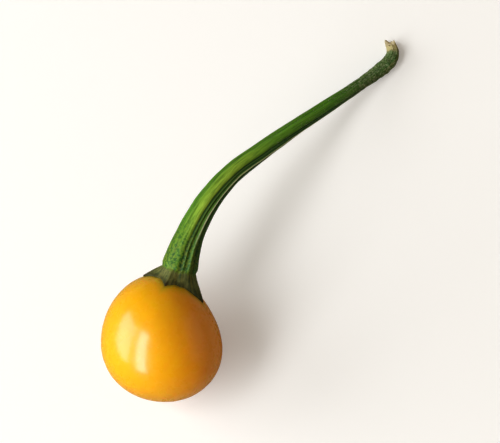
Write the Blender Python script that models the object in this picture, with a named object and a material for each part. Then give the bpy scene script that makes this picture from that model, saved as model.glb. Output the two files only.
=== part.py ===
"""An aji charapita pepper as picked, lying on its side.

It has two pieces: the small round pod, and the green calyx and pedicel, which grew as one.
Units are metres and +Z is up. The origin is the middle of the flat spot that the pod rests on,
and +X runs from the pod towards the pedicel's broken tip, which touches the same surface.
"""

from math import cos, exp, pi, radians, sin

import bmesh
import bpy
import numpy as np
from mathutils import Euler, Matrix, Vector
from mathutils.geometry import interpolate_bezier

MM = 0.001

# Where the pod lies: its centre, and its axis from the blossom end to the pedicel
POD_CENTRE = Vector((0.18, -0.04, 4.85)) * MM
AXIS_PITCH = radians(22.8)
AXIS_HEADING = radians(24.1)

# Pod: radius from its centre by the angle from the pedicel's end of its axis
POD_RADIUS = 4.84 * MM
POD_NARROWING = -0.16 * MM
POD_BLUNTNESS = 0.04 * MM
POD_SHOULDER = 0.10 * MM

# Pod: one shoulder stands higher, with two and three faint lobes round the axis
LEAN = 0.40 * MM
LEAN_SIDE = radians(-86)
TWO_LOBES = 0.03 * MM
TWO_LOBES_TURN = radians(20)
THREE_LOBES = 0.025 * MM
THREE_LOBES_TURN = radians(50)

# Pod: the shallow dimple of the style scar at the blossom end
SCAR_DEPTH = 0.14 * MM
SCAR_WIDTH = radians(7)

# Pod: where it sags a little, low on the side that the pedicel bows to
SAG = 0.16 * MM
SAG_POLAR = radians(104)
SAG_AROUND = radians(199)
SAG_TIGHTNESS = 12

# Calyx: a thin collar over the pod's shoulder, with its gap to the skin
CALYX_GAP = 0.10 * MM
CALYX_EDGE = radians(20)
CALYX_EDGE_THICKNESS = 0.16 * MM
EDGE_TUCK = 0.985
EDGE_SWELL = 1.01
RIB_HEIGHT = 0.06 * MM

# Calyx: its teeth as (place round the axis, reach past the edge, half width)
TEETH = (
    (radians(-88), radians(8), radians(24)),
    (radians(-14), radians(6), radians(13)),
    (radians(72), radians(13.5), radians(21)),
    (radians(135), radians(10), radians(20)),
    (radians(205), radians(8), radians(18)),
)

# Pedicel: its middle line from the neck above the calyx to the broken tip
PEDICEL_ROUTE = [Vector(point) * MM for point in (
    (4.84, 2.02, 6.98),
    (6.86, 2.81, 7.75),
    (9.86, 3.49, 7.95),
    (13.24, 3.69, 7.30),
    (16.56, 3.31, 6.10),
    (20.06, 2.82, 4.60),
    (24.26, 2.16, 2.75),
    (28.79, 1.40, 1.06),
    (31.22, 1.03, 0.58),
    (32.04, 1.34, 0.56),
    (32.48, 1.93, 0.61),
)]

# Pedicel: radius along it, thick at the foot, thin beyond, with a knuckle near the tip
THIN_RADIUS = 0.44 * MM
FOOT_RADIUS = 1.00 * MM
TAPER = 1.35
FLARE = 0.49 * MM
FLARE_LENGTH = 2.3 * MM
NECK_PINCH = 0.08 * MM
NECK_LENGTH = 0.22 * MM
KNUCKLE = 0.13 * MM
KNUCKLE_PLACE = 27.9 * MM
KNUCKLE_LENGTH = 1.7 * MM

# Pedicel: grooves as (place round it, depth as a share of the radius, half width)
GROOVES = (
    (radians(2), 0.10, radians(8)),
    (radians(18), 0.08, radians(7)),
    (radians(52), 0.11, radians(11)),
    (radians(100), 0.08, radians(13)),
    (radians(152), 0.08, radians(13)),
    (radians(215), 0.09, radians(12)),
    (radians(285), 0.06, radians(14)),
)
GROOVE_TURN = radians(6)
GROOVE_TWIST = radians(85)

# Pedicel: the torn tip, a little narrower, torn aslant so that its face looks up, with splinters
# as (place round it, height, half width)
TIP_TAPER = 0.84
TIP_LENGTH = 1.1 * MM
TIP_SLANT = 0.34 * MM
TIP_SLANT_SIDE = radians(-5)
TIP_RAGGEDNESS = 0.12 * MM
SPLINTERS = (
    (radians(240), 0.34 * MM, radians(30)),
    (radians(60), 0.18 * MM, radians(40)),
)

# Mesh: how many steps each way, and how close together the pedicel's rings are at its two ends
POD_MERIDIANS = 56
POD_PARALLELS = 38
ROUND_STEPS = 60
UNDER_RINGS = 5
UPPER_RINGS = 6
PEDICEL_RINGS = 40
END_CROWDING = 0.6
ROUTE_STEPS = 24
SHORTEST_EDGE = 0.002 * MM


def pod_frame():
    """Pod space to world space: Z along the pod's axis, X on its upper side."""
    axis = Euler((0, -AXIS_PITCH, AXIS_HEADING)).to_matrix() @ Vector((1, 0, 0))
    upper = (Vector((0, 0, 1)) - axis * axis.z).normalized()
    turn = Matrix((upper, axis.cross(upper), axis)).transposed()
    return Matrix.Translation(POD_CENTRE) @ turn.to_4x4()


def sag_at(polar, around):
    """How far the skin sags outwards at a place on the pod."""
    beside = sin(polar) * sin(SAG_POLAR) * cos(around - SAG_AROUND)
    cos_away = cos(polar) * cos(SAG_POLAR) + beside
    return SAG * exp(SAG_TIGHTNESS * (cos_away - 1))


def pod_radius(polar, around):
    """Distance from the pod's centre to its skin, by the angle from the axis and round it."""
    mean = POD_RADIUS + POD_NARROWING * cos(polar) + POD_BLUNTNESS * cos(2 * polar)
    mean += POD_SHOULDER * cos(3 * polar)
    lean = LEAN * sin(2 * polar) * (1 + cos(polar)) / 2 * cos(around - LEAN_SIDE)
    lobes = TWO_LOBES * cos(2 * (around - TWO_LOBES_TURN))
    lobes += THREE_LOBES * cos(3 * (around - THREE_LOBES_TURN))
    scar = SCAR_DEPTH * exp(-((pi - polar) / SCAR_WIDTH) ** 2)
    return mean + lean + lobes * sin(polar) ** 2 - scar + sag_at(polar, around)


def on_pod(polar, around, lift=0.0):
    """A point in pod space over the skin, lifted off it along the radius."""
    outward = Vector((sin(polar) * cos(around), sin(polar) * sin(around), cos(polar)))
    return outward * (pod_radius(polar, around) + lift)


def finish_object(name, bm, colour, roughness):
    """Closes the mesh's work and gives it its own object and material, shaded smooth."""
    bmesh.ops.recalc_face_normals(bm, faces=bm.faces)
    mesh = bpy.data.meshes.new(name)
    bm.to_mesh(mesh)
    bm.free()
    mesh.shade_smooth()
    material = bpy.data.materials.new(name)
    material.use_nodes = True
    shader = material.node_tree.nodes["Principled BSDF"]
    shader.inputs["Base Color"].default_value = (*colour, 1.0)
    shader.inputs["Roughness"].default_value = roughness
    shader.inputs["Metallic"].default_value = 0.0
    mesh.materials.append(material)
    piece = bpy.data.objects.new(name, mesh)
    bpy.context.collection.objects.link(piece)
    return piece


def make_pod():
    """A sphere pushed out to the pod's own radius, and cut flat where it rests."""
    bm = bmesh.new()
    bmesh.ops.create_uvsphere(bm, u_segments=POD_MERIDIANS, v_segments=POD_PARALLELS, radius=1.0)
    frame = pod_frame()
    for vert in bm.verts:
        polar = vert.co.angle(Vector((0, 0, 1)))
        around = np.arctan2(vert.co.y, vert.co.x)
        vert.co = frame @ on_pod(polar, around)
    geometry = bm.verts[:] + bm.edges[:] + bm.faces[:]
    cut = bmesh.ops.bisect_plane(
        bm, geom=geometry, dist=SHORTEST_EDGE / 100, plane_co=(0, 0, 0), plane_no=(0, 0, 1), clear_inner=True)
    rim = [item for item in cut["geom_cut"] if isinstance(item, bmesh.types.BMEdge)]
    bmesh.ops.contextual_create(bm, geom=rim)
    bmesh.ops.remove_doubles(bm, verts=bm.verts, dist=SHORTEST_EDGE)
    return finish_object("pod", bm, (0.90, 0.36, 0.01), 0.28)


def bump(around, place, half_width):
    """A smooth hump round the axis: 1 at its place, almost 0 past twice its half width."""
    away = (around - place + pi) % (2 * pi) - pi
    return exp(-(away / half_width) ** 2)


def calyx_edge(around):
    """The angle from the pod's axis at which the calyx ends, with its teeth."""
    return CALYX_EDGE + sum(reach * bump(around, place, width) for place, reach, width in TEETH)


def round_angles():
    return [2 * pi * step / ROUND_STEPS for step in range(ROUND_STEPS)]


def calyx_ring(share, lift):
    """A ring over the pod's shoulder at a share of the way from the axis out to the edge."""
    return [on_pod(share * calyx_edge(around), around, lift) for around in round_angles()]


def calyx_upper_rings(neck):
    """Rings up the calyx's upper side, from its edge to the neck, ribbed towards the teeth."""
    rings = []
    foot = calyx_ring(1.0, CALYX_GAP + CALYX_EDGE_THICKNESS)
    for step in range(UPPER_RINGS):
        climb = step / UPPER_RINGS
        ring = []
        for around, low, high in zip(round_angles(), foot, neck):
            rib = RIB_HEIGHT * sum(bump(around, place, width / 2) for place, _, width in TEETH)
            point = low.lerp(high, climb)
            ring.append(point + point.normalized() * rib * sin(pi * climb))
        rings.append(ring)
    return rings


def smooth_route():
    """Points close together on a smooth curve through the pedicel's route, with their distances."""
    knots = PEDICEL_ROUTE
    axis = pod_frame().to_3x3() @ Vector((0, 0, 1))
    before = [knots[0] - axis * (knots[1] - knots[0]).length] + knots[:-1]
    after = knots[1:] + [knots[-1] * 2 - knots[-2]]
    slopes = [(b - a).normalized() for a, b in zip(before, after)]
    points = [knots[0]]
    for start, end, leave, arrive in zip(knots, knots[1:], slopes, slopes[1:]):
        pull = (end - start).length / 3
        points += interpolate_bezier(start, start + leave * pull, end - arrive * pull, end, ROUTE_STEPS)[1:]
    points = np.array(points)
    legs = np.linalg.norm(np.diff(points, axis=0), axis=1)
    return points, np.concatenate([[0.0], np.cumsum(legs)])


def pedicel_radius(distance, length):
    """The pedicel's mean radius at a distance along it."""
    taper = (FOOT_RADIUS - THIN_RADIUS) * max(0.0, 1 - distance / length) ** TAPER
    flare = FLARE * exp(-distance / FLARE_LENGTH)
    pinch = NECK_PINCH * exp(-(distance / NECK_LENGTH) ** 2)
    knuckle = KNUCKLE * exp(-((distance - KNUCKLE_PLACE) / KNUCKLE_LENGTH) ** 2)
    return THIN_RADIUS + taper + flare + knuckle - pinch


def groove_share(around, twist):
    """The share of the radius that is left at an angle, inside or beside the grooves."""
    turn = around - GROOVE_TURN - twist
    return 1.0 - sum(depth * bump(turn, place, width) for place, depth, width in GROOVES)


def tip_reach(around):
    """How far the torn end stands past the last ring: ragged, with its splinters."""
    ragged = TIP_RAGGEDNESS * (cos(3 * around + 1.0) + cos(7 * around)) / 2
    slant = -TIP_SLANT * cos(around - TIP_SLANT_SIDE)
    return ragged + slant + sum(height * bump(around, place, width) for place, height, width in SPLINTERS)


def tearing(place, length):
    """How much of the torn end's shape a ring takes: none where the tear starts, all at the tip."""
    share = max(0.0, 1 - (length - place) / TIP_LENGTH)
    return share * share * (3 - 2 * share)


def ring_places(length):
    """Distances of the pedicel's rings along it: closer at both ends, with one inside the neck."""
    shares = [step / (PEDICEL_RINGS - 1) for step in range(PEDICEL_RINGS)]
    eased = [END_CROWDING * share ** 2 * (3 - 2 * share) + (1 - END_CROWDING) * share for share in shares]
    return [0.0, NECK_LENGTH / 2] + [length * share for share in eased[1:]]


def pedicel_rings():
    """Rings along the route in world space, turned as little as possible, and the torn end."""
    points, distances = smooth_route()
    length = distances[-1]
    places = ring_places(length)
    centres = [Vector([np.interp(place, distances, column) for column in points.T]) for place in places]
    behind = centres[:1] + centres[:-1]
    ahead = centres[1:] + centres[-1:]
    side = pod_frame().to_3x3() @ Vector((1, 0, 0))
    rings = []
    for place, centre, before, after in zip(places, centres, behind, ahead):
        along = (after - before).normalized()
        side = (side - along * side.dot(along)).normalized()
        across = along.cross(side)
        torn = tearing(place, length)
        radius = pedicel_radius(place, length) * (1 - (1 - TIP_TAPER) * torn)
        twist = GROOVE_TWIST * place / length
        ring = []
        for around in round_angles():
            outward = side * cos(around) + across * sin(around)
            reach = tip_reach(around) * torn
            ring.append(centre + outward * radius * groove_share(around, twist) + along * reach)
        rings.append(ring)
    return rings, centre - along * TIP_RAGGEDNESS


def skin_rings(bm, rings, first_pole, last_pole):
    """Joins rings of vertices one to the next, and closes both ends on a point."""
    loops = [[bm.verts.new(point) for point in ring] for ring in rings]
    neighbours = [(step, (step + 1) % ROUND_STEPS) for step in range(ROUND_STEPS)]
    for lower, upper in zip(loops, loops[1:]):
        for a, b in neighbours:
            bm.faces.new((lower[a], lower[b], upper[b], upper[a]))
    start = bm.verts.new(first_pole)
    end = bm.verts.new(last_pole)
    for a, b in neighbours:
        bm.faces.new((loops[0][b], loops[0][a], start))
        bm.faces.new((loops[-1][a], loops[-1][b], end))


def make_calyx_and_pedicel():
    """One closed skin: under the collar, round its toothed edge, up over it and along the stalk."""
    frame = pod_frame()
    stalk, pith = pedicel_rings()
    neck = [frame.inverted() @ point for point in stalk[0]]
    under = [calyx_ring(step / UNDER_RINGS, CALYX_GAP) for step in range(1, UNDER_RINGS)]
    edge = [calyx_ring(EDGE_TUCK, CALYX_GAP), calyx_ring(EDGE_SWELL, CALYX_GAP + CALYX_EDGE_THICKNESS / 2)]
    collar = [[frame @ point for point in ring] for ring in under + edge + calyx_upper_rings(neck)]
    bm = bmesh.new()
    skin_rings(bm, collar + stalk, frame @ on_pod(0.0, 0.0, CALYX_GAP), pith)
    return finish_object("calyx_and_pedicel", bm, (0.16, 0.27, 0.03), 0.5)


def clear_scene():
    for piece in list(bpy.data.objects):
        bpy.data.objects.remove(piece, do_unlink=True)


clear_scene()
make_pod()
make_calyx_and_pedicel()
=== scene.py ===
"""The looks of one aji charapita pepper: its waxy skin, calyx, grooved stalk and torn tip.

Lengths are metres in the part's own frame: +Z up, the origin in the middle of the flat spot
that the pod rests on, and +X from the pod towards the stalk's torn tip.
"""

from math import cos, pi, radians, sin, tan

import bpy
import numpy as np
from mathutils import Euler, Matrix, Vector, noise
from mathutils.geometry import interpolate_bezier


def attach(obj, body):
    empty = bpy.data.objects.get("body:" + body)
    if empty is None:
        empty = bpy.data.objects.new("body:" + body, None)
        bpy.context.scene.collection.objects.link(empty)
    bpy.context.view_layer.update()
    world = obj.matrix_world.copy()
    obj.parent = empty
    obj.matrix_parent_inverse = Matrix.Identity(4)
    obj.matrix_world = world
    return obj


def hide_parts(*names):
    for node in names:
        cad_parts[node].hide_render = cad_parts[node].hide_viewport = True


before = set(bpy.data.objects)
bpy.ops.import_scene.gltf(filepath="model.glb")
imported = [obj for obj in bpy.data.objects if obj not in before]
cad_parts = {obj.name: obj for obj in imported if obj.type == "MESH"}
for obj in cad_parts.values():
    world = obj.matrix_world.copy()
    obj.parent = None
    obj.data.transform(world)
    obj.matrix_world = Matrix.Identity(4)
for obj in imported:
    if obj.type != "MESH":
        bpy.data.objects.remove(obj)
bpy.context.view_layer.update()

MM = 0.001

# The pod as the part has it: centre, axis towards the stalk, and radius by angle
POD_CENTRE = np.array((0.18, -0.04, 4.85)) * MM
AXIS_PITCH = radians(22.8)
AXIS_HEADING = radians(24.1)
POD_RADIUS = 4.84 * MM
POD_NARROWING = -0.16 * MM
POD_BLUNTNESS = 0.04 * MM
POD_SHOULDER = 0.10 * MM
LEAN = 0.40 * MM
LEAN_SIDE = radians(-86)
TWO_LOBES = 0.03 * MM
TWO_LOBES_TURN = radians(20)
THREE_LOBES = 0.025 * MM
THREE_LOBES_TURN = radians(50)
SCAR_DEPTH = 0.14 * MM
SCAR_WIDTH = radians(7)
SAG = 0.16 * MM
SAG_POLAR = radians(104)
SAG_AROUND = radians(199)
SAG_TIGHTNESS = 12

# Skin relief that the part is too coarse for, as (waves across a radius, height)
SKIN_SWELLS = ((4.0, 0.014 * MM), (9.0, 0.0040 * MM))
PUCKERS = 11
PUCKER_HEIGHT = 0.016 * MM
PUCKER_REACH = radians(8)
PUCKER_WANDER = 2
PUCKER_WAVES = 2

# The skin's faint streaks run from end to end: waves round the pod, and along it
STREAKS_ROUND = 3
STREAKS_ALONG = 0.7

# The level direction of the pod's side away from the windows, where the skin is painted a deeper orange
# as painted shade
SHADE_SIDE_DIRECTION = np.array((0.62, -0.78, 0.0))

# The calyx's edge, with its teeth as (place round the pod's axis, reach, half width), a small
# spur on each tooth and a rim that curls; SPUR_WIDTH is a share of the tooth's width, EDGE_CURL a
# share of the rim's height, and TOOTH_MIDDLE the share of a tooth's width where its rim is darkest
CALYX_EDGE = radians(20)
TEETH = (
    (radians(-88), radians(8), radians(24)),
    (radians(-14), radians(6), radians(13)),
    (radians(72), radians(13.5), radians(21)),
    (radians(135), radians(10), radians(20)),
    (radians(205), radians(8), radians(18)),
)
SPUR_REACH = radians(2.2)
SPUR_WIDTH = 0.20
EDGE_WOBBLE = radians(1.1)
EDGE_WAVES = 5.0
EDGE_CURL = 0.65
CURL_WAVES = 2.2
TOOTH_MIDDLE = 0.4

# The calyx's top: it sinks between rim and neck, with a rib to each tooth, veins, pleats and
# wrinkles as (waves across a radius, height), which fade out at both ends by a power of a sine
CALYX_SAG = 0.06 * MM
RIB_HEIGHT = 0.06 * MM
RIB_WIDTH = 0.5
VEIN_HEIGHT = 0.040 * MM
VEIN_WIDTH = radians(4.5)
VEIN_BETWEEN = 0.6
VEIN_FADE = 0.6
PLEAT_HEIGHT = 0.030 * MM
PLEAT_WAVES = 6.0
CALYX_WRINKLES = ((12.0, 0.020 * MM), (30.0, 0.008 * MM))
WRINKLE_FADE = 0.5

# Cross-section of the calyx from its hidden underside round the rim: (share of edge angle, lift)
RIM_PROFILE = (
    (0.20, -0.05 * MM),
    (0.45, -0.05 * MM),
    (0.70, -0.05 * MM),
    (0.88, -0.04 * MM),
    (0.965, -0.03 * MM),
    (1.000, -0.01 * MM),
    (1.009, 0.02 * MM),
    (1.013, 0.045 * MM),
    (1.013, 0.07 * MM),
    (1.006, 0.095 * MM),
    (0.992, 0.115 * MM),
    (0.965, 0.135 * MM),
)

# The stalk's middle line as the part has it, and its radius along it
STALK_ROUTE = [Vector(point) * MM for point in (
    (4.84, 2.02, 6.98),
    (6.86, 2.81, 7.75),
    (9.86, 3.49, 7.95),
    (13.24, 3.69, 7.30),
    (16.56, 3.31, 6.10),
    (20.06, 2.82, 4.60),
    (24.26, 2.16, 2.75),
    (28.79, 1.40, 1.06),
    (31.22, 1.03, 0.58),
    (32.04, 1.34, 0.56),
    (32.48, 1.93, 0.61),
)]
THIN_RADIUS = 0.44 * MM
FOOT_RADIUS = 1.00 * MM
TAPER = 1.35
FLARE = 0.49 * MM
FLARE_LENGTH = 2.3 * MM
NECK_PINCH = 0.08 * MM
NECK_LENGTH = 0.22 * MM
KNUCKLE = 0.13 * MM
KNUCKLE_PLACE = 27.9 * MM
KNUCKLE_LENGTH = 1.7 * MM

# Grooves of the stalk as (place round it, depth as a share of the radius, half width)
GROOVES = (
    (radians(2), 0.10, radians(8)),
    (radians(18), 0.08, radians(7)),
    (radians(52), 0.11, radians(11)),
    (radians(100), 0.08, radians(13)),
    (radians(152), 0.08, radians(13)),
    (radians(215), 0.09, radians(12)),
    (radians(285), 0.06, radians(14)),
)
GROOVE_TURN = radians(6)
GROOVE_TWIST = radians(85)
GROOVE_FULL = 0.1

# Sharp crests between the grooves, too narrow for the part, as (place round it, height as a share
# of the radius, half width), and how they wander a little from side to side along it
CRESTS = (
    (radians(10), 0.055, radians(3)),
    (radians(30), 0.115, radians(3.5)),
    (radians(76), 0.070, radians(5)),
    (radians(126), 0.060, radians(4)),
    (radians(184), 0.075, radians(5)),
    (radians(243), 0.055, radians(5)),
    (radians(260), 0.040, radians(4)),
    (radians(311), 0.040, radians(5)),
    (radians(338), 0.018, radians(4)),
)
CREST_FULL = 0.08
CREST_WANDER = radians(2.5)
CREST_WANDER_LENGTHS = (2.1 * MM, 5.3 * MM)
CREST_WANDER_ROUND = 3

# Two bands round the stalk: painted light, a yellow-green band along its upper side, and painted shade, a
# blue-green band down its side away from the windows
PAINTED_LIGHT_BAND = radians(4)
PAINTED_LIGHT_BAND_WIDTH = radians(32)
PAINTED_SHADE_SIDE = radians(105)
PAINTED_SHADE_WIDTH = radians(52)

# The crease and lip at the stalk's neck
NECK_CREASE = 0.02 * MM
NECK_CREASE_LENGTH = 0.10 * MM
NECK_LIP = 0.012 * MM
NECK_LIP_PLACE = 0.34 * MM
NECK_LIP_LENGTH = 0.16 * MM

# Fine relief of the stalk as (height as a share of the radius, waves across a radius, waves a
# millimetre along it), with warts on the thin part, all growing from nothing at the neck
STRIAE = (0.022, 4.5, 0.16)
FINE_STRIAE = (0.014, 11.0, 0.45)
LUMPS = (0.035, 1.1, 0.75)
WARTS = (0.11, 1.9, 2.6)
WARTS_FROM = 21 * MM
WARTS_FULL = 27 * MM
RELIEF_START = 0.8 * MM

# The torn tip: two sets of notches round it, a slant and splinters as (place round it, height,
# half width), and a face that falls to the pith; TEAR_FALL and PITH_RIM are powers of the share
# of the radius, for the tear's slope and for where the pith's roughness ends
TIP_TAPER = 0.84
TIP_LENGTH = 1.1 * MM
TIP_SLANT = 0.34 * MM
TIP_SLANT_SIDE = radians(-5)
TIP_RAGGEDNESS = 0.12 * MM
TIP_NOTCHES = (3, 7)
TIP_NOTCH_TURN = 1.0
SPLINTERS = (
    (radians(240), 0.34 * MM, radians(30)),
    (radians(60), 0.18 * MM, radians(40)),
)
FINE_RAGGEDNESS = 0.07 * MM
FINE_RAGGED_WAVES = 5.0
TEAR_FALL = 1.2
PITH_DEPTH = 0.09 * MM
PITH_ROUGHNESS = 0.05 * MM
PITH_WAVES = 6
PITH_RIM = 6

# Hairs on the stalk's thin part: they end a little before the tip, cover a share of the stalk and
# crowd towards the tip; a pair of measures is a range to draw from, and a hair that would come
# too near the floor is left out
HAIRS = 1500
HAIRS_END = 0.6 * MM
HAIRS_SHARE = 0.55
HAIRS_CROWDING = 1.4
HAIR_ROOT_DEPTH = 0.01 * MM
HAIR_SCATTER = 0.35
HAIR_LEANS = (0.0, 0.7)
HAIR_LENGTHS = (0.05 * MM, 0.14 * MM)
HAIR_WIDTHS = (0.008 * MM, 0.014 * MM)
HAIR_BENDS = (0.0, 0.5)
HAIR_REACH = 0.2 * MM
HAIR_FLOOR_GAP = 0.02 * MM

# Fibres that stand out of the torn face over a range of its area, longer towards its rim
TORN_FIBRES = 46
FIBRE_AREA = (0.05, 0.92)
FIBRE_ROOT_DEPTH = 0.05 * MM
FIBRE_SPREAD = (-0.1, 0.4)
FIBRE_SCATTER = 0.12
FIBRE_LENGTHS = (0.08 * MM, 0.26 * MM)
FIBRE_LENGTH_INSIDE = 0.6
FIBRE_LENGTH_GAIN = 0.6
FIBRE_WIDTHS = (0.03 * MM, 0.07 * MM)

# The corky scar of the style: a low ring with an uneven edge and a rough top; SCAR_PEAK and
# SCAR_RIM are powers of the share of its radius, for where it is highest and where it drops
SCAR_SIZE = 0.25 * MM
SCAR_UNEVENNESS = 0.22
SCAR_EDGE_WAVES = 1.4
SCAR_HEIGHT = 0.05 * MM
SCAR_PEAK = 1.5
SCAR_ROUGHNESS = 0.02 * MM
SCAR_WAVES = 7
SCAR_RIM_DROP = 0.02 * MM
SCAR_RIM = 8
SCAR_ROOT = 0.06 * MM

# Mesh steps
POD_MERIDIANS = 300
POD_PARALLELS = 190
POLE_CROWDING = 0.06
STALK_SIDES = 180
CALYX_RINGS = 30
NECK_RINGS = 12
NECK_RANGE = 0.5 * MM
STALK_RINGS = 400
STALK_CROWDING = 0.3
TORN_RINGS = 14
ROUTE_STEPS = 60
SCAR_SIDES = 48
SCAR_RINGS = 12
STRAND_SIDES = 3
STRAND_STEPS = (0.0, 0.4, 0.75)

# A direction that no strand follows, and how far the next seed moves the noise
ODD_DIRECTION = (0.31, 0.52, 0.79)
NOISE_SHIFT = 17.3

# View: the photograph's direction, and how far the camera is from the middle of the picture
VIEW_AZIMUTH = radians(-51.6)
VIEW_ELEVATION = radians(72)
VIEW_DISTANCE = 170 * MM
AIM_RIGHT = 6.78 * MM
AIM_UP = 9.08 * MM
VIEW_WIDTH = 38.96 * MM
VIEW_CLIP = (1 * MM, 10.0)
SENSOR = 36.0

# Stage: the floor's colour as the camera sees it and as it throws light back, and the weak warm
# light from all round
FLOOR_SIZE = 3.0
FLOOR_SEEN = (0.88, 0.88, 0.87)
FLOOR_BOUNCE = (0.42, 0.33, 0.16)
FLOOR_GLOW = 0.22
SURROUND = (1.0, 0.80, 0.46)
SURROUND_STRENGTH = 0.15

# Windows as (angle left of the view's axis, angle above its middle, width, height, radiance, roll)
TALL_WINDOW = (radians(76), radians(4), radians(36), radians(56), 4.4, radians(-24))
NARROW_WINDOW = (radians(41), radians(-16), radians(18), radians(70), 8.2, radians(-16))
SOFT_FILL = (radians(-78), radians(8), radians(50), radians(60), 0.44, 0.0)
WARM_FILL = (1.0, 0.60, 0.34)
WINDOW_DISTANCE = 450 * MM


def pod_axes():
    """The pod's upper side, its other side and its axis, as rows."""
    axis = Euler((0, -AXIS_PITCH, AXIS_HEADING)).to_matrix() @ Vector((1, 0, 0))
    upper = (Vector((0, 0, 1)) - axis * axis.z).normalized()
    return np.array((upper, axis.cross(upper), axis))


POD_AXES = pod_axes()


def unit(vectors):
    """The vectors at length 1."""
    return vectors / np.linalg.norm(vectors, axis=-1, keepdims=True)


def bump_at(around, place, half_width):
    """A smooth hump round an axis: 1 at its place, almost 0 past twice its half width."""
    away = (around - place + pi) % (2 * pi) - pi
    return np.exp(-(away / half_width) ** 2)


def noise_at(points, seed):
    """Smooth noise from about -1 to 1 at points that are given in the noise's own waves."""
    flat = np.asarray(points, float).reshape(-1, 3) + seed * NOISE_SHIFT
    values = np.fromiter((noise.noise(Vector(point)) for point in flat), float, len(flat))
    return values.reshape(np.shape(points)[:-1])


def around_steps(count):
    """Evenly spaced angles of a full turn."""
    return 2 * pi * np.arange(count) / count


def ease(share):
    """0 up to 0, 1 from 1 on, and smooth between."""
    share = np.clip(share, 0.0, 1.0)
    return share * share * (3 - 2 * share)


def pod_directions(polar, around):
    """Unit vectors in world axes by the angle from the pod's axis and the angle round it."""
    beside = np.sin(polar)
    return np.stack([beside * np.cos(around), beside * np.sin(around), np.cos(polar)], -1) @ POD_AXES


def sag_at(polar, around):
    """How far the skin sags outwards low on one side, as in the part."""
    beside = np.sin(polar) * sin(SAG_POLAR) * np.cos(around - SAG_AROUND)
    return SAG * np.exp(SAG_TIGHTNESS * (np.cos(polar) * cos(SAG_POLAR) + beside - 1))


def pod_radius(polar, around):
    """Distance from the pod's centre to its skin, as in the part."""
    mean = POD_RADIUS + POD_NARROWING * np.cos(polar) + POD_BLUNTNESS * np.cos(2 * polar)
    mean += POD_SHOULDER * np.cos(3 * polar)
    lean = LEAN * np.sin(2 * polar) * (1 + np.cos(polar)) / 2 * np.cos(around - LEAN_SIDE)
    lobes = TWO_LOBES * np.cos(2 * (around - TWO_LOBES_TURN))
    lobes += THREE_LOBES * np.cos(3 * (around - THREE_LOBES_TURN))
    scar = SCAR_DEPTH * np.exp(-((pi - polar) / SCAR_WIDTH) ** 2)
    return mean + lean + lobes * np.sin(polar) ** 2 - scar + sag_at(polar, around)


def calyx_edge(around):
    """The angle from the pod's axis at which the calyx ends: teeth with small spurs."""
    edge = CALYX_EDGE
    for place, reach, width in TEETH:
        edge = edge + reach * bump_at(around, place, width)
        edge = edge + SPUR_REACH * bump_at(around, place, width * SPUR_WIDTH)
    return edge


def on_pod(polar, around, lift=0.0):
    """Points over the smooth pod, lifted off it along its radius."""
    reach = pod_radius(polar, around) + lift
    return POD_CENTRE + pod_directions(polar, around) * reach[..., None]


def on_axis(polar, lift=0.0):
    """The point over the pod's stalk end, at 0, or over its blossom end, at pi."""
    return on_pod(np.array(polar), np.array(0.0), lift)


def closed_mesh(name, rings, first_pole, last_pole, values):
    """A closed mesh from rings of points and a pole at each end, with values on its vertices."""
    count, sides = rings.shape[:2]
    points = np.concatenate([rings.reshape(-1, 3), [first_pole, last_pole]])
    step = np.arange(sides)
    following = (step + 1) % sides
    rows = np.arange(count - 1)[:, None] * sides
    quads = np.stack([rows + step, rows + following, rows + sides + following, rows + sides + step], -1)
    first = np.stack([np.full(sides, count * sides), following, step], -1)
    last_row = (count - 1) * sides
    last = np.stack([last_row + step, last_row + following, np.full(sides, count * sides + 1)], -1)
    faces = quads.reshape(-1, 4).tolist() + first.tolist() + last.tolist()
    mesh = bpy.data.meshes.new(name)
    mesh.from_pydata(points, [], faces)
    add_values(mesh, values, count * sides)
    mesh.shade_smooth()
    return in_scene(name, mesh)


def in_scene(name, data):
    """A new object of the scene that shows a mesh, a camera or a light."""
    made = bpy.data.objects.new(name, data)
    bpy.context.scene.collection.objects.link(made)
    return made


def add_values(mesh, values, ring_points):
    """Writes each named value onto the vertices: one number or one vector a vertex, poles last."""
    for name, (grid, poles) in values.items():
        vector = np.ndim(grid) == 3
        flat = np.concatenate([np.reshape(grid, (ring_points, -1)), np.reshape(poles, (2, -1))])
        attribute = mesh.attributes.new(name, "FLOAT_VECTOR" if vector else "FLOAT", "POINT")
        attribute.data.foreach_set("vector" if vector else "value", flat.astype(np.float32).ravel())


def dress(piece, finish, node=None):
    """Gives a piece its material and its body, and hides the node of the part that it stands for."""
    piece.data.materials.append(finish.material)
    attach(piece, "root")
    if node:
        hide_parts(node)


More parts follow.
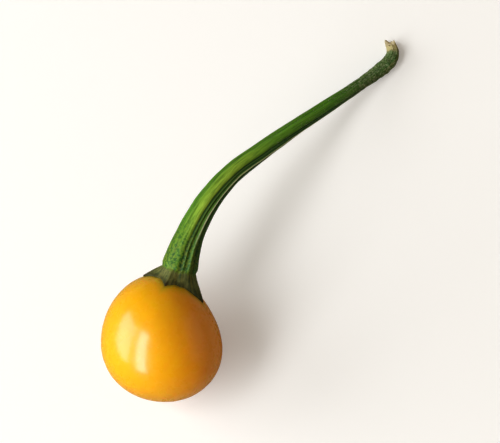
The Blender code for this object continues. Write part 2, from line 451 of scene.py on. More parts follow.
def make_pod_skin():
    """The whole pod, fine enough for soft swells, puckers round the calyx and the blossom scar."""
    share = np.arange(1, POD_PARALLELS) / POD_PARALLELS
    polar = pi * (share - POLE_CROWDING * np.sin(2 * pi * share))
    polar, around = np.meshgrid(polar, around_steps(POD_MERIDIANS), indexing="ij")
    directions = pod_directions(polar, around)
    lift = sum(
        height * noise_at(directions * waves, seed)
        for seed, (waves, height) in enumerate(SKIN_SWELLS))
    past_edge = polar - calyx_edge(around)
    near = np.exp(-(past_edge / PUCKER_REACH) ** 2)
    wander = PUCKER_WANDER * noise_at(directions * PUCKER_WAVES, seed=5)
    lift += PUCKER_HEIGHT * near * np.cos(PUCKERS * around + wander)
    points = on_pod(polar, around, lift)
    points[..., 2] = np.maximum(points[..., 2], 0.0)
    round_pod = np.stack([np.cos(around), np.sin(around)], -1) * STREAKS_ROUND
    streaks = np.concatenate([round_pod, polar[..., None] * STREAKS_ALONG], -1)
    # How far each point faces the side away from the windows: the mask of the painted shade
    axis_shade_flank = POD_AXES[2] @ SHADE_SIDE_DIRECTION
    # Rough values do at the two poles, which the calyx and the scar hide
    values = {
        "past_calyx": (past_edge * POD_RADIUS / MM, (-1.5, 12.0)),
        "from_blossom": ((pi - polar) * POD_RADIUS / MM, (15.0, 0.0)),
        "shade_flank": (directions @ SHADE_SIDE_DIRECTION, (axis_shade_flank, -axis_shade_flank)),
        "streaks": (streaks, ((0, 0, 0), (0, 0, STREAKS_ALONG * pi))),
    }
    return closed_mesh("pod_skin", points, on_axis(0.0), on_axis(pi), values)


def route_curve():
    """Points close together on the stalk's smooth middle line, with their distances along it."""
    knots = STALK_ROUTE
    axis = Vector(POD_AXES[2])
    before = [knots[0] - axis * (knots[1] - knots[0]).length] + knots[:-1]
    after = knots[1:] + [knots[-1] * 2 - knots[-2]]
    slopes = [(b - a).normalized() for a, b in zip(before, after)]
    points = [knots[0]]
    for start, end, leave, arrive in zip(knots, knots[1:], slopes, slopes[1:]):
        pull = (end - start).length / 3
        handles = start + leave * pull, end - arrive * pull
        points += interpolate_bezier(start, *handles, end, ROUTE_STEPS)[1:]
    points = np.array(points)
    legs = np.linalg.norm(np.diff(points, axis=0), axis=1)
    return points, np.concatenate([[0.0], np.cumsum(legs)])


def stalk_frames(places):
    """Centres, directions along and two sides of the stalk at distances along it."""
    points, distances = route_curve()
    slopes = unit(np.gradient(points, axis=0))
    centres = np.stack([np.interp(places, distances, column) for column in points.T], -1)
    along = unit(np.stack([np.interp(places, distances, column) for column in slopes.T], -1))
    side = POD_AXES[0]
    sides = []
    for direction in along:
        side = unit(side - direction * (side @ direction))
        sides.append(side)
    sides = np.array(sides)
    return centres, along, sides, np.cross(along, sides)


STALK_LENGTH = route_curve()[1][-1]


def stalk_radius(place):
    """The stalk's mean radius at distances along it, with the neck's crease and lip."""
    taper = (FOOT_RADIUS - THIN_RADIUS) * np.maximum(0.0, 1 - place / STALK_LENGTH) ** TAPER
    flare = FLARE * np.exp(-place / FLARE_LENGTH)
    pinch = NECK_PINCH * np.exp(-(place / NECK_LENGTH) ** 2)
    pinch += NECK_CREASE * np.exp(-(place / NECK_CREASE_LENGTH) ** 2)
    lip = NECK_LIP * np.exp(-((place - NECK_LIP_PLACE) / NECK_LIP_LENGTH) ** 2)
    knuckle = KNUCKLE * np.exp(-((place - KNUCKLE_PLACE) / KNUCKLE_LENGTH) ** 2)
    return THIN_RADIUS + taper + flare + knuckle + lip - pinch


def twisted(place, around):
    """The angle round the stalk in the grooves' own turn, which twists along it."""
    return around - GROOVE_TURN - GROOVE_TWIST * place / STALK_LENGTH


def groove_depth(place, around):
    """How deep the grooves are, as a share of the radius."""
    turn = twisted(place, around)
    return sum(depth * bump_at(turn, middle, width) for middle, depth, width in GROOVES)


def crest_height(place, around):
    """How far the sharp crests stand up, as a share of the radius."""
    short, long = CREST_WANDER_LENGTHS
    wander = CREST_WANDER * np.sin(place / short) * np.sin(place / long + CREST_WANDER_ROUND * around)
    turn = twisted(place, around) + wander
    return sum(height * bump_at(turn, middle, width) for middle, height, width in CRESTS)


def grain_place(place, around, across=1.0, along=1.0):
    """A place in the stalk's grain: round it in radii, along it stretched, for long streaks."""
    return np.stack([np.cos(around) * across, np.sin(around) * across, place / MM * along], -1)


def noise_round(around, waves, seed):
    """Noise that changes round an axis only."""
    return noise_at(grain_place(np.zeros_like(around), around, waves), seed)


def grain_noise(place, around, form, seed):
    """One kind of the stalk's fine relief, as a share of the radius."""
    height, across, along = form
    return height * noise_at(grain_place(place, around, across, along), seed)


def stalk_relief(place, around):
    """Long striae, soft lumps and the thin part's warts, as a share of the radius."""
    lines = grain_noise(place, around, STRIAE, seed=1) + grain_noise(place, around, FINE_STRIAE, seed=2)
    warty = ease((place - WARTS_FROM) / (WARTS_FULL - WARTS_FROM))
    warts = grain_noise(place, around, WARTS, seed=31) * warty
    return lines + warts + grain_noise(place, around, LUMPS, seed=3)


def tip_reach(around):
    """How far the torn end stands past the stalk's end, with its splinters."""
    wide, narrow = TIP_NOTCHES
    reach = TIP_RAGGEDNESS * (np.cos(wide * around + TIP_NOTCH_TURN) + np.cos(narrow * around)) / 2
    reach = reach - TIP_SLANT * np.cos(around - TIP_SLANT_SIDE)
    for place, height, width in SPLINTERS:
        reach = reach + height * bump_at(around, place, width)
    return reach + FINE_RAGGEDNESS * noise_round(around, FINE_RAGGED_WAVES, seed=7)


def tear_fall(around, share):
    """How far the torn face is past the stalk's end by share of the radius, before its pith sinks."""
    return tip_reach(around) * share ** TEAR_FALL


def stalk_places():
    """Distances along the stalk, closest together at the neck and closer again at the tip."""
    share = np.linspace(0.0, 1.0, STALK_RINGS)
    share *= 1 + STALK_CROWDING * (1 - share)
    neck = np.linspace(0.0, NECK_RANGE, NECK_RINGS, endpoint=False)
    return np.concatenate([neck, NECK_RANGE + (STALK_LENGTH - NECK_RANGE) * share])


def torn_face(centre, along, outward, rim):
    """Rings over the torn face, from inside its rim to its pith, and the pith's lowest point."""
    inward = 1 - np.arange(1, TORN_RINGS) / TORN_RINGS
    share, around = np.meshgrid(inward, around_steps(STALK_SIDES), indexing="ij")
    flat = np.stack([share * np.cos(around), share * np.sin(around), share * 0], -1)
    rough = PITH_ROUGHNESS * noise_at(flat * PITH_WAVES, seed=4) * (1 - share ** PITH_RIM)
    fall = tear_fall(around, share) - (PITH_DEPTH * (1 - share ** 2) + rough)
    face = centre + outward * (rim * share)[..., None] + along * fall[..., None]
    return face, centre - along * PITH_DEPTH


def stalk_rings():
    """Rings along the stalk, its torn face and pith, its rings' places and its lines' values."""
    places = stalk_places()
    centres, along, sides, across = stalk_frames(places)
    place, around = np.meshgrid(places, around_steps(STALK_SIDES), indexing="ij")
    outward = np.cos(around)[..., None] * sides[:, None] + np.sin(around)[..., None] * across[:, None]
    grooves = groove_depth(place, around)
    crests = crest_height(place, around)
    relief = (crests + stalk_relief(place, around)) * ease(place / RELIEF_START)
    tearing = ease(1 - (STALK_LENGTH - place) / TIP_LENGTH)
    reach = stalk_radius(place) * (1 - grooves + relief) * (1 - (1 - TIP_TAPER) * tearing)
    rings = centres[:, None] + outward * reach[..., None]
    rings += along[:, None] * (tip_reach(around) * tearing)[..., None]
    face, pith = torn_face(centres[-1], along[-1], outward[-1], reach[-1])
    lines = {
        "groove": grooves / GROOVE_FULL,
        "crest": crests / CREST_FULL,
        # Mask of the painted light along the stalk's upper side
        "painted_light": bump_at(around, PAINTED_LIGHT_BAND, PAINTED_LIGHT_BAND_WIDTH),
    }
    return rings, face, pith, places, lines


def calyx_veins(around):
    """Narrow veins up the middle of each tooth, with a fainter one half way to the next tooth."""
    places = [place for place, _, _ in TEETH]
    between = [(a + b) / 2 for a, b in zip(places, places[1:] + [places[0] + 2 * pi])]
    main = sum(bump_at(around, place, VEIN_WIDTH) for place in places)
    return main + VEIN_BETWEEN * sum(bump_at(around, place, VEIN_WIDTH) for place in between)


def calyx_rim():
    """Rings from the calyx's hidden underside round its rim, which curls up here and there."""
    around = around_steps(STALK_SIDES)
    edge = calyx_edge(around) + EDGE_WOBBLE * noise_round(around, EDGE_WAVES, seed=8)
    curl = 1 + EDGE_CURL * noise_round(around, CURL_WAVES, seed=9)
    return np.array([
        on_pod(share * edge, around, max(lift, 0) * curl + min(lift, 0))
        for share, lift in RIM_PROFILE])


def calyx_top(rim, neck):
    """Rings from the calyx's rim up its ribbed and wrinkled top to the neck."""
    around = around_steps(STALK_SIDES)
    climb = (np.arange(1, CALYX_RINGS) / CALYX_RINGS)[:, None]
    top = rim * (1 - climb[..., None]) + neck * climb[..., None]
    outward = unit(top - POD_CENTRE)
    fade = np.sin(pi * climb)
    rib = RIB_HEIGHT * sum(bump_at(around, place, width * RIB_WIDTH) for place, _, width in TEETH)
    pleat = PLEAT_HEIGHT * noise_round(around, PLEAT_WAVES, seed=12)
    lift = (rib + pleat - CALYX_SAG) * fade
    lift = lift + VEIN_HEIGHT * calyx_veins(around) * fade ** VEIN_FADE
    for seed, (waves, height) in enumerate(CALYX_WRINKLES, 11):
        lift = lift + height * noise_at(outward * waves, seed) * fade ** WRINKLE_FADE
    return top + outward * lift[..., None]


def every_side(runs):
    """One value for each ring, from runs that follow each other, repeated round the ring."""
    return np.repeat(np.concatenate(runs)[:, None], STALK_SIDES, 1)


def calyx_and_stalk_values(on_rim, places, on_face, lines):
    """What the finish needs to know at each point, with on_rim and on_face as numbers of rings."""
    climb = np.arange(1, CALYX_RINGS) / CALYX_RINGS
    end = STALK_LENGTH / MM
    before = on_rim + len(climb)
    along = every_side([np.full(on_rim, -1.0), climb - 1.0, places / MM, np.full(on_face, end)])
    rim = every_side([np.ones(on_rim), 1 - climb, np.zeros(len(places) + on_face)])
    torn = every_side([np.zeros(before + len(places)), np.ones(on_face)])
    around = np.repeat(around_steps(STALK_SIDES)[None], len(along), 0)
    tooth = sum(bump_at(around, place, width * TOOTH_MIDDLE) for place, _, width in TEETH)
    at_poles = (0.0, 0.0)
    values = {
        "along": (along, (-1.0, end)),
        "rim": (rim, (1.0, 0.0)),
        "torn": (torn, (0.0, 1.0)),
        "tooth": (tooth, at_poles),
        "vein": (calyx_veins(around), at_poles),
        # Mask of the painted shade down the side away from the windows
        "painted_shade": (bump_at(around, PAINTED_SHADE_SIDE, PAINTED_SHADE_WIDTH), at_poles),
        "grain": (grain_place(along * MM, around), ((0, 0, -1), (0, 0, end))),
    }
    for name, line in lines.items():
        values[name] = np.pad(line, ((before, on_face), (0, 0))), at_poles
    return values


def make_calyx_and_stalk():
    """The calyx and stalk in one closed skin, down to the floor at the lowest."""
    stalk, face, pith, places, lines = stalk_rings()
    rim = calyx_rim()
    rings = np.concatenate([rim, calyx_top(rim[-1], stalk[0]), stalk, face])
    rings[..., 2] = np.maximum(rings[..., 2], 0.0)
    under = on_axis(0.0, RIM_PROFILE[0][1])
    values = calyx_and_stalk_values(len(rim), places, len(face), lines)
    return closed_mesh("calyx_and_stalk", rings, under, pith, values)


def strand(root, direction, length, width, bend):
    """The points of one thin, bent strand: rings that narrow, and its pointed end."""
    first = unit(np.cross(direction, ODD_DIRECTION))
    second = np.cross(direction, first)
    points = []
    for step in STRAND_STEPS:
        middle = root + direction * length * step + bend * length * step ** 2
        for turn in around_steps(STRAND_SIDES):
            points.append(middle + (first * cos(turn) + second * sin(turn)) * width * (1 - step) / 2)
    return points + [root + direction * length + bend * length]


def strand_faces(start):
    """The faces of one strand whose points start at a number: sides, pointed end and root."""
    faces = []
    low = start
    following = [*range(1, STRAND_SIDES), 0]
    for _ in STRAND_STEPS[1:]:
        high = low + STRAND_SIDES
        faces += [(low + k, low + n, high + n, high + k) for k, n in enumerate(following)]
        low = high
    faces += [(low + k, low + n, low + STRAND_SIDES) for k, n in enumerate(following)]
    return faces + [tuple(start + k for k in reversed(range(STRAND_SIDES)))]


def strands(name, *measures):
    """Many strands in one mesh, from a list each of roots, directions, lengths, widths and bends."""
    points, faces = [], []
    for measure in zip(*measures):
        faces += strand_faces(len(points))
        points += strand(*measure)
    mesh = bpy.data.meshes.new(name)
    mesh.from_pydata(points, [], faces)
    mesh.shade_smooth()
    return in_scene(name, mesh)


def make_stalk_hairs():
    """Short fine hairs on the stalk's thin part, denser towards the torn tip."""
    draw = np.random.default_rng(seed=4)
    places = STALK_LENGTH * (1 - HAIRS_SHARE * draw.random(HAIRS) ** HAIRS_CROWDING) - HAIRS_END
    around = draw.random(HAIRS) * 2 * pi
    order = np.argsort(places)
    places, around = places[order], around[order]
    centres, along, sides, across = stalk_frames(places)
    outward = np.cos(around)[:, None] * sides + np.sin(around)[:, None] * across
    radius = stalk_radius(places) * (1 - groove_depth(places, around) + stalk_relief(places, around))
    roots = centres + outward * (radius - HAIR_ROOT_DEPTH)[:, None]
    lean = draw.normal(0, HAIR_SCATTER, (HAIRS, 3))
    lean += along * draw.uniform(*HAIR_LEANS, HAIRS)[:, None]
    directions = unit(outward + lean)
    lengths = draw.uniform(*HAIR_LENGTHS, HAIRS)
    widths = draw.uniform(*HAIR_WIDTHS, HAIRS)
    bends = along * draw.uniform(*HAIR_BENDS, HAIRS)[:, None]
    clear = roots[:, 2] + directions[:, 2] * HAIR_REACH > HAIR_FLOOR_GAP
    measures = [measure[clear] for measure in (roots, directions, lengths, widths, bends)]
    return strands("stalk_hairs", *measures)


def make_torn_fibres():
    """Pale fibres that stand out of the torn tip."""
    draw = np.random.default_rng(seed=9)
    centres, along, sides, across = stalk_frames(np.array([STALK_LENGTH]))
    around = draw.random(TORN_FIBRES) * 2 * pi
    share = np.sqrt(draw.uniform(*FIBRE_AREA, TORN_FIBRES))
    outward = np.cos(around)[:, None] * sides[0] + np.sin(around)[:, None] * across[0]
    radius = stalk_radius(np.array(STALK_LENGTH)) * TIP_TAPER * share
    rise = tear_fall(around, share) - PITH_DEPTH * (1 - share ** 2) - FIBRE_ROOT_DEPTH
    roots = centres[0] + outward * radius[:, None] + along[0] * rise[:, None]
    spread = outward * draw.uniform(*FIBRE_SPREAD, TORN_FIBRES)[:, None]
    directions = unit(along[0] + spread + draw.normal(0, FIBRE_SCATTER, (TORN_FIBRES, 3)))
    lengths = draw.uniform(*FIBRE_LENGTHS, TORN_FIBRES)
    lengths *= FIBRE_LENGTH_INSIDE + FIBRE_LENGTH_GAIN * share
    widths = draw.uniform(*FIBRE_WIDTHS, TORN_FIBRES)
    bends = draw.normal(0, FIBRE_SCATTER, (TORN_FIBRES, 3))
    return strands("torn_fibres", roots, directions, lengths, widths, bends)


def make_style_scar():
    """The small corky button that the flower's style left at the blossom end."""
    share = np.arange(1, SCAR_RINGS + 1) / SCAR_RINGS
    share, around = np.meshgrid(share, around_steps(SCAR_SIDES), indexing="ij")
    flat = np.stack([share * np.cos(around), share * np.sin(around), share * 0], -1)
    size = SCAR_SIZE * (1 + SCAR_UNEVENNESS * noise_round(around, SCAR_EDGE_WAVES, seed=21))
    height = SCAR_HEIGHT * np.sin(pi * share ** SCAR_PEAK)
    height += SCAR_ROUGHNESS * noise_at(flat * SCAR_WAVES, seed=22)
    height -= SCAR_RIM_DROP * share ** SCAR_RIM
    top = on_pod(pi - share * size / POD_RADIUS, around, height)
    return closed_mesh("style_scar", top, on_axis(pi), on_axis(pi, -SCAR_ROOT), {})


class Number:
    """A socket that carries one number through a finish, for sums in plain Python."""

    def __init__(self, finish, socket):
        self.finish = finish
        self.socket = socket

    def __add__(self, other):
        return self.finish.maths("ADD", self, other)

    def __sub__(self, other):
        return self.finish.maths("SUBTRACT", self, other)

    def __rsub__(self, other):
        return self.finish.maths("SUBTRACT", other, self)

    def __mul__(self, other):
        return self.finish.maths("MULTIPLY", self, other)

    __radd__ = __add__
    __rmul__ = __mul__

    def between(self, low, high):
        """0 at or under low, 1 at or over high, and smooth between; low may be the larger."""
        node = self.finish.node(
            "ShaderNodeMapRange", {"interpolation_type": "SMOOTHSTEP"},
            {"Value": self, "From Min": low, "From Max": high})
        return Number(self.finish, node.outputs["Result"])


class Finish:
    """One material in the making: its shader's constants, and nodes that vary it over a surface."""

    def __init__(self, name, **constants):
        self.material = bpy.data.materials.new(name)
        self.material.use_nodes = True
        self.tree = self.material.node_tree
        self.shader = self.tree.nodes["Principled BSDF"]
        for name, value in constants.items():
            socket = name.replace("_", " ").title().replace("Ior", "IOR")
            self.shader.inputs[socket].default_value = value

    def node(self, kind, settings, sockets):
        """Adds a node: its settings first, then a value or a link for each named socket."""
        made = self.tree.nodes.new(kind)
        for name, value in settings.items():
            setattr(made, name, value)
        for name, value in sockets.items():
            self.plug(made.inputs[name], value)
        return made

    def plug(self, socket, value):
        """Links a number, a colour or a vector to a socket, or sets the socket to a plain value."""
        source = getattr(value, "socket", value)
        if isinstance(source, bpy.types.NodeSocket):
            self.tree.links.new(source, socket)
        else:
            socket.default_value = value

    def maths(self, operation, *values):
        """The result of a Math node on numbers."""
        made = self.node("ShaderNodeMath", {"operation": operation}, dict(enumerate(values)))
        return Number(self, made.outputs[0])

    def value(self, name):
        """A number that the mesh carries on its vertices."""
        made = self.node("ShaderNodeAttribute", {"attribute_name": name}, {})
        return Number(self, made.outputs["Fac"])

    def vector(self, name):
        """A vector that the mesh carries on its vertices."""
        return self.node("ShaderNodeAttribute", {"attribute_name": name}, {}).outputs["Vector"]

    def place(self):
        """The point in the object's own space, in millimetres."""
        made = self.node("ShaderNodeTexCoord", {}, {})
        return self.stretched(made.outputs["Object"], (1 / MM,) * 3)

    def stretched(self, vector, factors):
        """A vector with each of its parts multiplied."""
        made = self.node("ShaderNodeVectorMath", {"operation": "MULTIPLY"}, {0: vector, 1: factors})
        return made.outputs["Vector"]

    def noise(self, vector, scale, detail=2.0, roughness=0.5):
        """Smooth noise from 0 to 1, mostly near its middle."""
        sockets = {"Vector": vector, "Scale": scale, "Detail": detail, "Roughness": roughness}
        return Number(self, self.node("ShaderNodeTexNoise", {}, sockets).outputs["Fac"])

    def cells(self, vector, scale):
        """The distance to the nearest of many scattered points, in units of their spacing."""
        made = self.node("ShaderNodeTexVoronoi", {}, {"Vector": vector, "Scale": scale})
        return Number(self, made.outputs["Distance"])

    def mix(self, share, first, second):
        """A colour between two colours: the first at 0, the second at 1."""
        made = self.node("ShaderNodeMix", {"data_type": "RGBA"}, {"Factor": share})
        sockets = [socket for socket in made.inputs if socket.type == "RGBA"]
        for socket, colour in zip(sockets, (first, second)):
            self.plug(socket, (*colour, 1.0) if isinstance(colour, tuple) else colour)
        return next(socket for socket in made.outputs if socket.type == "RGBA")

    def finish(self, colour, roughness, height=None, depth=0.0, coat=None):
        """Plugs what varies into the shader; height is raised by depth, in metres."""
        self.plug(self.shader.inputs["Base Color"], colour)
        self.plug(self.shader.inputs["Roughness"], roughness)
        if coat is not None:
            self.plug(self.shader.inputs["Coat Weight"], coat)
        if height is not None:
            made = self.node("ShaderNodeBump", {}, {"Height": height, "Distance": depth, "Strength": 1.0})
            self.plug(self.shader.inputs["Normal"], made.outputs["Normal"])
        return self


# In the finishes, a place on the mesh and a value that is a length are in millimetres

# Colours of the skin, as shares of red, green and blue light
GOLD = (0.94, 0.440, 0.001)
DEEPER_GOLD = (0.93, 0.385, 0.0005)
PALE_STREAK = (0.96, 0.43, 0.004)
BLOSSOM_ORANGE = (0.88, 0.255, 0.001)
PAINTED_SHADE_ORANGE = (0.94, 0.305, 0.001)
LIGHT_GRAIN = (1.0, 0.50, 0.008)
UNRIPE_GREEN = (0.50, 0.38, 0.004)
BROWN_AT_CALYX_EDGE = (0.20, 0.16, 0.012)
LIGHT_DOT = (1.0, 0.56, 0.02)
# Painted glints: the colour of a few small pale spots
PAINTED_GLINT_SPOT = (1.0, 0.66, 0.16)
DARK_SPECK = (0.13, 0.048, 0.01)
BLOSSOM_CORK = (0.30, 0.13, 0.02)


def ripe_skin(finish, place):
    """Gold, mottled and streaked from end to end, deeper at the blossom end, and a deeper orange of
    painted shade on the side away from the windows.
    """
    mottle = finish.noise(place, 0.34, 3.0, 0.55).between(0.35, 0.68)
    colour = finish.mix(mottle * 0.25, GOLD, DEEPER_GOLD)
    streaks = finish.noise(finish.vector("streaks"), 3.2, 3.0, 0.6).between(0.45, 0.75)
    colour = finish.mix(streaks * 0.30, colour, PALE_STREAK)
    blossom = finish.value("from_blossom").between(6.5, 0.0)
    colour = finish.mix(blossom * 0.40, colour, BLOSSOM_ORANGE)
    # Painted shade: a deeper orange on the side away from the windows
    shade_flank = finish.value("shade_flank") + finish.noise(place, 0.5, 2.0) * 0.3 - 0.15
    return finish.mix(shade_flank.between(-0.20, 0.65) * 0.85, colour, PAINTED_SHADE_ORANGE)


def marked_skin(finish, place, dots, colour):
    """Faint light dots, a few pale spots that are painted glints, ragged dark specks, and cork at the
    blossom end.
    """
    colour = finish.mix(dots.between(0.20, 0.05) * 0.18, colour, LIGHT_DOT)
    # Painted glints: a few small pale spots stand in for light caught by tiny bumps
    pale = finish.cells(place, 1.15)
    colour = finish.mix(pale.between(0.060, 0.035) * 0.55, colour, PAINTED_GLINT_SPOT)
    specks = finish.cells(finish.stretched(place, (0.9, 1.0, 1.1)), 0.37)
    ragged = specks + finish.noise(place, 6.0, 3.0, 0.7) * 0.05
    colour = finish.mix(ragged.between(0.062, 0.038) * 0.80, colour, DARK_SPECK)
    corky = finish.value("from_blossom") + finish.noise(place, 4.0) * 0.25
    return finish.mix(corky.between(0.62, 0.36) * 0.7, colour, BLOSSOM_CORK)


def skin_finish():
    """Waxy yellow-orange skin, green beside the calyx and darker brown right at its edge."""
    finish = Finish(
        "waxy_yellow_skin", subsurface_weight=0.35, subsurface_radius=(1.0, 0.30, 0.04),
        subsurface_scale=1.3 * MM, specular_ior_level=0.38, coat_roughness=0.16, coat_ior=1.45)
    place = finish.place()
    grain = finish.noise(place, 5.5, 3.0, 0.6)
    dots = finish.cells(place, 3.1)
    past = finish.value("past_calyx") + finish.noise(place, 1.1, 2.0) * 0.7 - 0.35
    green = past.between(1.25, 0.1) * 0.62
    # Darker brown on the skin right at the calyx's edge
    brown_at_edge = past.between(0.36, 0.0) * 0.5
    colour = ripe_skin(finish, place)
    colour = finish.mix(grain.between(0.52, 0.75) * 0.16, colour, LIGHT_GRAIN)
    colour = finish.mix(green, colour, UNRIPE_GREEN)
    colour = finish.mix(brown_at_edge, colour, BROWN_AT_CALYX_EDGE)
    colour = marked_skin(finish, place, dots, colour)
    roughness = 0.24 + finish.noise(place, 0.9, 3.0, 0.6) * 0.07 + brown_at_edge * 0.3
    height = grain * 0.6 + finish.noise(place, 15.0, 2.0) * 0.35 + dots.between(0.3, 0.0) * 0.15
    return finish.finish(colour, roughness, height, 0.0016 * MM, coat=0.55 - green * 0.5)


# Colours of the stalk, calyx and torn tip
DARK_GREEN = (0.020, 0.108, 0.007)
FRESH_GREEN = (0.072, 0.235, 0.012)
BRIGHT_GREEN = (0.125, 0.315, 0.014)
# Painted light: the yellow-greens of the band along the stalk's upper side
PAINTED_LIGHT_YELLOW_GREEN = (0.355, 0.580, 0.055)
PAINTED_LIGHT_GREEN = (0.165, 0.440, 0.035)
# The grooves' own darker green, deepened with painted shade
GROOVE_SHADE_GREEN = (0.005, 0.034, 0.008)
FINE_LIGHT_STREAK = (0.16, 0.34, 0.04)
CREST_GREEN = (0.15, 0.34, 0.08)
# Painted highlight along the highest crests
PAINTED_HIGHLIGHT_CREST = (0.70, 0.78, 0.46)
FOOT_LIGHT_PATCH = (0.190, 0.250, 0.020)
FOOT_DARK_PATCH = (0.014, 0.055, 0.010)
FOOT_DOT = (0.020, 0.055, 0.006)
THIN_DARK_GREEN = (0.024, 0.066, 0.018)
THIN_GREY_GREEN = (0.095, 0.150, 0.050)
PALE_FLECK = (0.30, 0.36, 0.19)
DARK_FLECK = (0.012, 0.028, 0.008)
DARK_OLIVE = (0.036, 0.060, 0.018)
LIGHT_OLIVE = (0.185, 0.190, 0.050)
VEIN_OLIVE = (0.170, 0.175, 0.045)
OLIVE_DOT = (0.025, 0.028, 0.008)
RIM_BROWN = (0.020, 0.012, 0.005)
# Painted shade down the stalk's and calyx's side away from the windows
PAINTED_SHADE_BLUE_GREEN = (0.006, 0.078, 0.048)
PAINTED_SHADE_OLIVE = (0.010, 0.032, 0.016)
DRY_TAN = (0.34, 0.27, 0.10)
PALE_TAN = (0.58, 0.50, 0.24)
WOOD = (0.60, 0.49, 0.25)
PALE_WOOD = (0.88, 0.80, 0.54)


def green_ridges(finish, along, fibre, fine):
    """Streaked green with dark grooves deepened by painted shade, lighter crests with a painted highlight
    on the highest, and a yellow-green band of painted light along the upper side.
    """
    colour = finish.mix(fibre.between(0.34, 0.62), DARK_GREEN, FRESH_GREEN)
    bright = along.between(1.0, 4.5) * along.between(25.0, 10.0)
    colour = finish.mix(bright * fibre.between(0.35, 0.62) * 0.35, colour, BRIGHT_GREEN)
    # Painted light: a yellow-green band along the stalk's upper side, strongest on the middle of its
    # length
    painted_light = finish.value("painted_light") * bright * (0.45 + fibre.between(0.35, 0.60) * 0.55)
    painted_light_green = finish.mix(along.between(8.0, 15.0), PAINTED_LIGHT_YELLOW_GREEN, PAINTED_LIGHT_GREEN)
    colour = finish.mix(painted_light, colour, painted_light_green)
    # Darker green in the grooves, deepened with painted shade
    colour = finish.mix(finish.value("groove").between(0.30, 0.95) * 0.90, colour, GROOVE_SHADE_GREEN)
    colour = finish.mix(fine.between(0.58, 0.78) * 0.30, colour, FINE_LIGHT_STREAK)
    crest = finish.value("crest")
    colour = finish.mix(crest.between(0.35, 0.7) * 0.40, colour, CREST_GREEN)
    # Painted highlight: a pale line on the highest crests, fading towards the foot
    pale = crest.between(0.70, 1.1) * along.between(1.4, 4.2)
    return finish.mix(pale * 0.90, colour, PAINTED_HIGHLIGHT_CREST)


def patched_foot(finish, place, along, dots, colour):
    """Light and dark patches and dark dots on the stalk's foot."""
    foot = along.between(5.0, 0.8)
    patches = finish.noise(place, 4.2, 3.0, 0.6)
    colour = finish.mix(foot * patches.between(0.40, 0.62) * 0.60, colour, FOOT_LIGHT_PATCH)
    colour = finish.mix(foot * patches.between(0.50, 0.38) * 0.70, colour, FOOT_DARK_PATCH)
    return finish.mix(foot * dots.between(0.54, 0.66) * 0.45, colour, FOOT_DOT)


def flecked_thin_part(finish, thin, fibre, flecks, colour):
    """Greyer green with pale and dark flecks on the thin part."""
    greyed = finish.mix(fibre.between(0.35, 0.65), THIN_DARK_GREEN, THIN_GREY_GREEN)
    colour = finish.mix(thin * 0.8, colour, greyed)
    colour = finish.mix(thin * flecks.between(0.50, 0.64) * 0.75, colour, PALE_FLECK)
    return finish.mix(thin * flecks.between(0.46, 0.34) * 0.70, colour, DARK_FLECK)


def olive_calyx(finish, blotch, fibre, dots):
    """Ribbed olive with lighter veins, dark dots and a brown rim, darkest on the teeth."""
    ribbed = (blotch * 0.35 + fibre * 0.65).between(0.38, 0.62)
    olive = finish.mix(ribbed, DARK_OLIVE, LIGHT_OLIVE)
    olive = finish.mix(finish.value("vein") * 0.5, olive, VEIN_OLIVE)
    olive = finish.mix(dots.between(0.55, 0.68) * 0.4, olive, OLIVE_DOT)
    rim = finish.value("rim").between(0.62, 1.0) * (0.45 + finish.value("tooth") * 0.5)
    return finish.mix(rim, olive, RIM_BROWN)


def paint_shaded_side(finish, along, on_calyx, colour):
    """Painted shade: blue-green down the side away from the light, less on the crests, gone before the
    tip.
    """
    on_crest = finish.value("crest").between(0.80, 1.2)
    painted_shade = finish.value("painted_shade") * (0.75 - on_crest * 0.6)
    shaded = finish.mix(on_calyx, PAINTED_SHADE_BLUE_GREEN, PAINTED_SHADE_OLIVE)
    return finish.mix(painted_shade * along.between(29.0, 20.0), colour, shaded)


def torn_tip(finish, place, dry, fine, torn, colour):
    """Dry tan just before the tear, and cream wood on its face."""
    colour = finish.mix(dry * 0.85, colour, finish.mix(fine, DRY_TAN, PALE_TAN))
    wood = finish.mix(finish.noise(place, 9.0, 3.0), WOOD, PALE_WOOD)
    return finish.mix(torn, colour, wood)


def stalk_finish():
    """Green stalk with pale crests of painted highlight and dark grooves deepened with painted shade,
    painted light and shade on its two sides, olive calyx with a brown rim, tan torn face.
    """
    finish = Finish("fibrous_green_stalk", specular_ior_level=0.18)
    place = finish.place()
    grain = finish.vector("grain")
    fibre = finish.noise(finish.stretched(grain, (3.2, 3.2, 0.32)), 2.2, 4.0, 0.65)
    fine = finish.noise(finish.stretched(grain, (9.0, 9.0, 0.9)), 2.6, 3.0, 0.6)
    flecks = finish.noise(finish.stretched(grain, (1.9, 1.9, 2.6)), 2.1, 4.0, 0.65)
    blotch = finish.noise(place, 2.4, 4.0, 0.6)
    dots = finish.noise(place, 7.0, 2.0, 0.6)
    along = finish.value("along")
    thin = along.between(20.5, 26.0)
    dry = (along + fibre * 0.9).between(29.4, 30.1)
    on_calyx = (along + blotch * 0.5 + fibre * 0.4).between(0.55, 0.25)
    torn = finish.value("torn")
    colour = green_ridges(finish, along, fibre, fine)
    colour = patched_foot(finish, place, along, dots, colour)
    colour = flecked_thin_part(finish, thin, fibre, flecks, colour)
    colour = finish.mix(on_calyx, colour, olive_calyx(finish, blotch, fibre, dots))
    # Painted shade down the side away from the windows
    colour = paint_shaded_side(finish, along, on_calyx, colour)
    colour = torn_tip(finish, place, dry, fine, torn, colour)
    roughness = 0.46 + finish.value("groove") * 0.12 + fibre * 0.10 + on_calyx * 0.16 + torn * 0.35
    height = fibre * 0.5 + fine * 0.45 + flecks * thin * 0.5 + blotch * on_calyx * 0.8 + dots * 0.2
    return finish.finish(colour, roughness, height, 0.016 * MM)


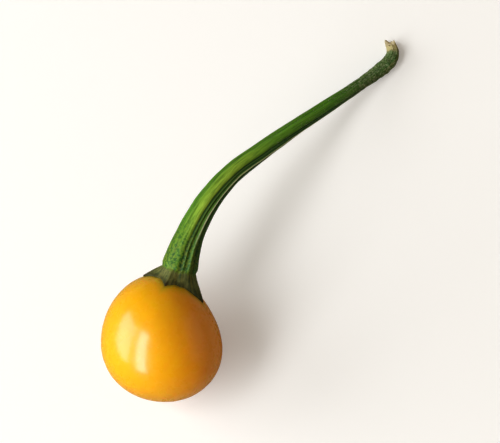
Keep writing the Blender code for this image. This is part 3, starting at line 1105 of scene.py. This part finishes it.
def hair_finish():
    """Pale, thin plant hairs."""
    finish = Finish("pale_plant_hair", specular_ior_level=0.4)
    colour = finish.mix(finish.noise(finish.place(), 3.0), (0.34, 0.36, 0.22), (0.62, 0.62, 0.46))
    return finish.finish(colour, 0.55)


def dry_finish(name, scale, dark, light, roughness, depth):
    """Dry plant matter: two tones in a fine noise, which also roughens it."""
    finish = Finish(name, specular_ior_level=0.3)
    tone = finish.noise(finish.place(), scale, 3.0, 0.6)
    colour = finish.mix(tone.between(0.3, 0.7), dark, light)
    return finish.finish(colour, roughness, tone, depth)


def fibre_finish():
    """Dry tan fibres of the torn tip, darker at random."""
    return dry_finish("dry_tan_fibre", 7.0, (0.36, 0.27, 0.12), (0.74, 0.65, 0.42), 0.8, 0.01 * MM)


def cork_finish():
    """Brown, dry cork of the style's scar."""
    return dry_finish("brown_cork_scar", 9.0, (0.035, 0.018, 0.008), (0.22, 0.13, 0.05), 0.85, 0.02 * MM)


def view_axes():
    """The view's right, up and back directions."""
    right = Vector((cos(VIEW_AZIMUTH), sin(VIEW_AZIMUTH), 0))
    back = Vector((
        sin(VIEW_AZIMUTH) * cos(VIEW_ELEVATION),
        -cos(VIEW_AZIMUTH) * cos(VIEW_ELEVATION),
        sin(VIEW_ELEVATION)))
    return right, back.cross(right), back


def set_camera():
    """A long lens at the photograph's angle, aimed so that pod and stalk fill the picture."""
    right, up, back = view_axes()
    aim = Vector(POD_CENTRE) + right * AIM_RIGHT + up * AIM_UP
    lens = bpy.data.cameras.new("view")
    lens.sensor_width = SENSOR
    lens.lens = SENSOR * VIEW_DISTANCE / VIEW_WIDTH
    lens.clip_start, lens.clip_end = VIEW_CLIP
    camera = in_scene("view", lens)
    camera.location = aim + back * VIEW_DISTANCE
    camera.rotation_mode = "QUATERNION"
    camera.rotation_quaternion = back.to_track_quat("Z", "Y")
    bpy.context.scene.camera = camera


def make_floor():
    """A plain pale floor that throws a little warm light back on the part."""
    half = FLOOR_SIZE / 2
    corners = [(-half, -half, 0), (half, -half, 0), (half, half, 0), (-half, half, 0)]
    mesh = bpy.data.meshes.new("floor")
    mesh.from_pydata(corners, [], [(0, 1, 2, 3)])
    floor = in_scene("floor", mesh)
    finish = Finish("pale_floor", roughness=0.9, specular_ior_level=0.1, emission_color=(1, 1, 1, 1))
    seen = Number(finish, finish.node("ShaderNodeLightPath", {}, {}).outputs["Is Camera Ray"])
    finish.plug(finish.shader.inputs["Base Color"], finish.mix(seen, FLOOR_BOUNCE, FLOOR_SEEN))
    finish.plug(finish.shader.inputs["Emission Strength"], seen * FLOOR_GLOW)
    mesh.materials.append(finish.material)


def set_surround():
    """Plain, weak, warm light from all round."""
    world = bpy.data.worlds.new("surround")
    world.use_nodes = True
    background = world.node_tree.nodes["Background"]
    background.inputs["Color"].default_value = (*SURROUND, 1.0)
    background.inputs["Strength"].default_value = SURROUND_STRENGTH
    bpy.context.scene.world = world


def add_window(name, swing, rise, width, height, radiance, roll):
    """A soft rectangular light, placed by its angle left of the view's axis and above its middle."""
    right, up, back = view_axes()
    towards = back * cos(swing) - right * sin(swing)
    towards = (towards * cos(rise) + up * sin(rise)).normalized()
    lamp = bpy.data.lights.new(name, "AREA")
    lamp.shape = "RECTANGLE"
    lamp.size = 2 * WINDOW_DISTANCE * tan(width / 2)
    lamp.size_y = 2 * WINDOW_DISTANCE * tan(height / 2)
    lamp.energy = radiance * pi * lamp.size * lamp.size_y
    light = in_scene(name, lamp)
    light.location = Vector(POD_CENTRE) + towards * WINDOW_DISTANCE
    light.rotation_mode = "QUATERNION"
    turn = towards.to_track_quat("Z", "Y").to_matrix()
    across = turn.inverted() @ up
    twist = Euler((0, 0, -np.arctan2(across.x, across.y) + roll)).to_matrix()
    light.rotation_quaternion = (turn @ twist).to_quaternion()
    light.visible_camera = False
    return lamp


def add_windows():
    """Two soft windows on the view's left, which shine in the skin, and a weak warm fill."""
    add_window("tall_window", *TALL_WINDOW)
    add_window("narrow_window", *NARROW_WINDOW)
    fill = add_window("soft_fill", *SOFT_FILL)
    fill.color = WARM_FILL


set_camera()
make_floor()
set_surround()
add_windows()
bpy.context.scene.view_settings.view_transform = "Standard"

dress(make_pod_skin(), skin_finish(), "pod")
dress(make_calyx_and_stalk(), stalk_finish(), "calyx_and_pedicel")
dress(make_stalk_hairs(), hair_finish())
dress(make_torn_fibres(), fibre_finish())
dress(make_style_scar(), cork_finish())
